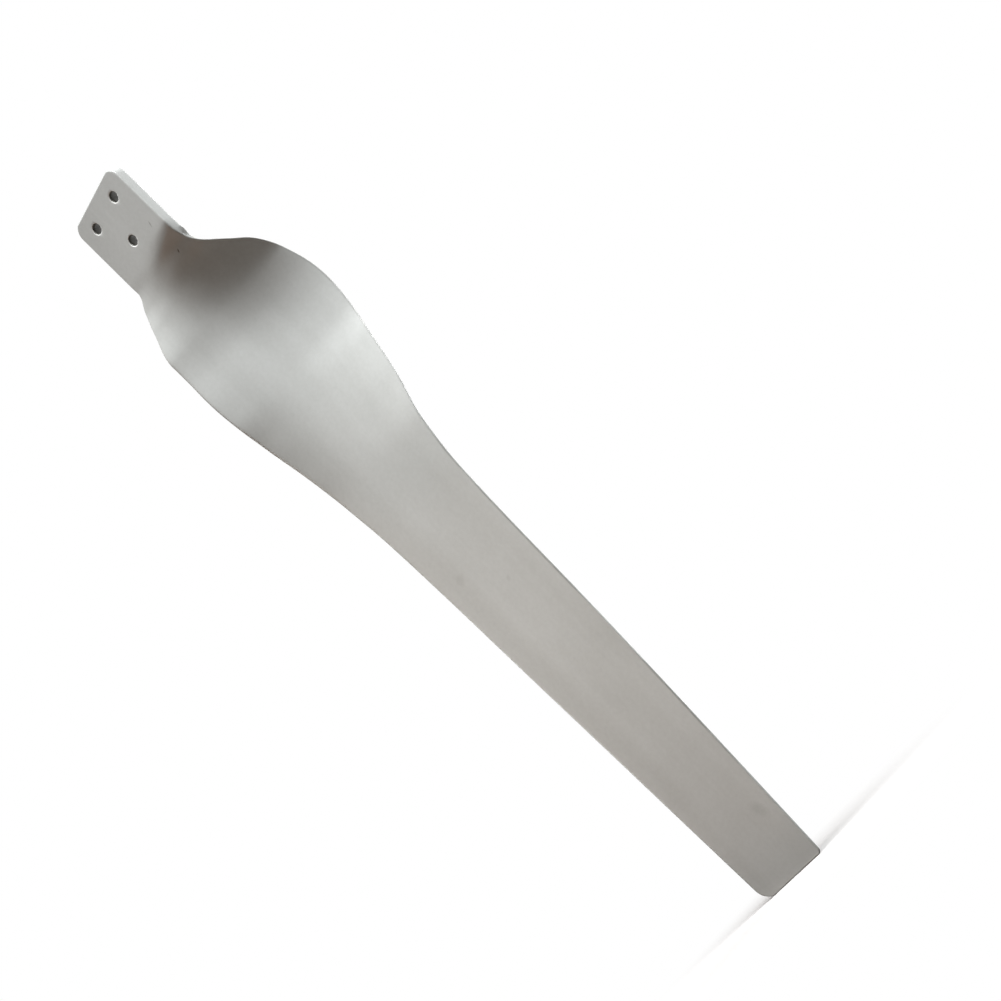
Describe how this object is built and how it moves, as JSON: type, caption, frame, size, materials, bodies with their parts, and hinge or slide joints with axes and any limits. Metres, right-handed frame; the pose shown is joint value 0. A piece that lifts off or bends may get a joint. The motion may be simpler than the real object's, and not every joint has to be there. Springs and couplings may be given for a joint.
{
  "type": "wind turbine blade",
  "caption": "Twisted, tapered blade for a small horizontal-axis wind turbine, moulded in one piece with a flat root plate drilled for bolts.",
  "frame": {"origin": "centre of the three bolt holes, on the root plate's flat back face that lies on the hub", "axes": "+Z along the blade from the tip up to the root, -Y out of the front face that the wind meets, +X towards the trailing edge"},
  "size_m": [0.0894, 0.063, 0.58],
  "materials": {
    "moulded_nylon": "pale grey glass-filled nylon, moulded satin"
  },
  "bodies": {
    "root": {"blade": "moulded_nylon"}
  },
  "joints": []
}
